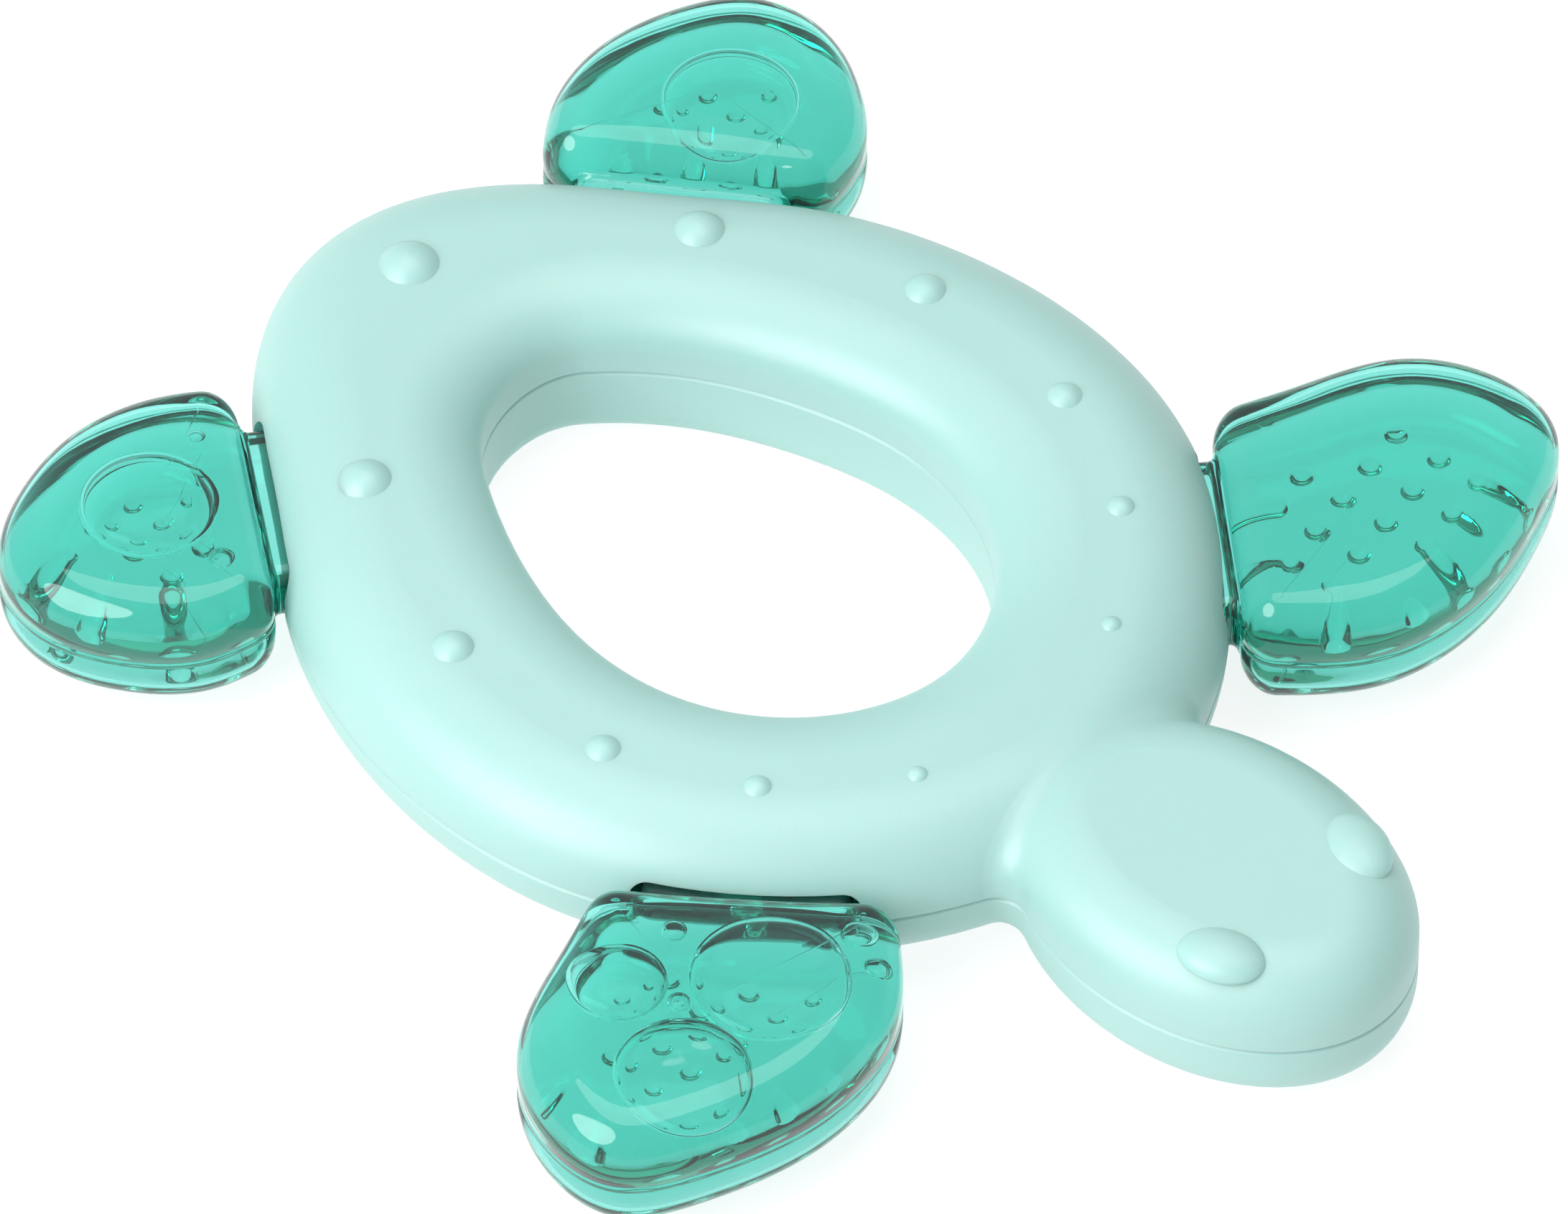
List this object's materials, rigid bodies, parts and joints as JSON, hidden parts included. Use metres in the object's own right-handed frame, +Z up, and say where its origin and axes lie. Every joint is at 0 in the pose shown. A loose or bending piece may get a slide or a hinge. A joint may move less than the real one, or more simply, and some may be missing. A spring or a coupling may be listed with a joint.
{
  "type": "teething ring",
  "caption": "Turtle-shaped baby teething ring: a hard hollow grip ring with a head, and soft water-filled cooling legs that rock slightly in slots.",
  "frame": {"origin": "centre of the bounding box in plan, on the surface the part rests on", "axes": "+X towards the head, +Y towards the turtle's left, +Z up"},
  "size_m": [0.1356, 0.1274, 0.0179],
  "materials": {
    "shell_plastic": "satin",
    "leg_skin": "clear tinted soft plastic",
    "water": "clear",
    "leg_plug": "matt"
  },
  "bodies": {
    "shell": {"upper_shell": "shell_plastic", "lower_shell": "shell_plastic"},
    "front_left_leg": {"front_left_leg_upper_skin": "leg_skin", "front_left_leg_lower_skin": "leg_skin", "front_left_leg_water": "water", "front_left_leg_plug": "leg_plug"},
    "front_right_leg": {"front_right_leg_upper_skin": "leg_skin", "front_right_leg_lower_skin": "leg_skin", "front_right_leg_water": "water", "front_right_leg_plug": "leg_plug"},
    "rear_left_leg": {"rear_left_leg_upper_skin": "leg_skin", "rear_left_leg_lower_skin": "leg_skin", "rear_left_leg_water": "water", "rear_left_leg_plug": "leg_plug"},
    "rear_right_leg": {"rear_right_leg_upper_skin": "leg_skin", "rear_right_leg_lower_skin": "leg_skin", "rear_right_leg_water": "water", "rear_right_leg_plug": "leg_plug"}
  },
  "joints": [
    {"name": "front_left_leg_rock", "type": "hinge", "parent": "shell", "child": "front_left_leg", "pos_m": [0.01346, 0.02607, 0.0086], "axis": [0, 0, 1], "range_deg": [-4, 4]},
    {"name": "front_right_leg_rock", "type": "hinge", "parent": "shell", "child": "front_right_leg", "pos_m": [0.01346, -0.02607, 0.0086], "axis": [0, 0, 1], "range_deg": [-4, 4]},
    {"name": "rear_left_leg_rock", "type": "hinge", "parent": "shell", "child": "rear_left_leg", "pos_m": [-0.04352, 0.02111, 0.0086], "axis": [0, 0, 1], "range_deg": [-4, 4]},
    {"name": "rear_right_leg_rock", "type": "hinge", "parent": "shell", "child": "rear_right_leg", "pos_m": [-0.04352, -0.02111, 0.0086], "axis": [0, 0, 1], "range_deg": [-4, 4]}
  ]
}
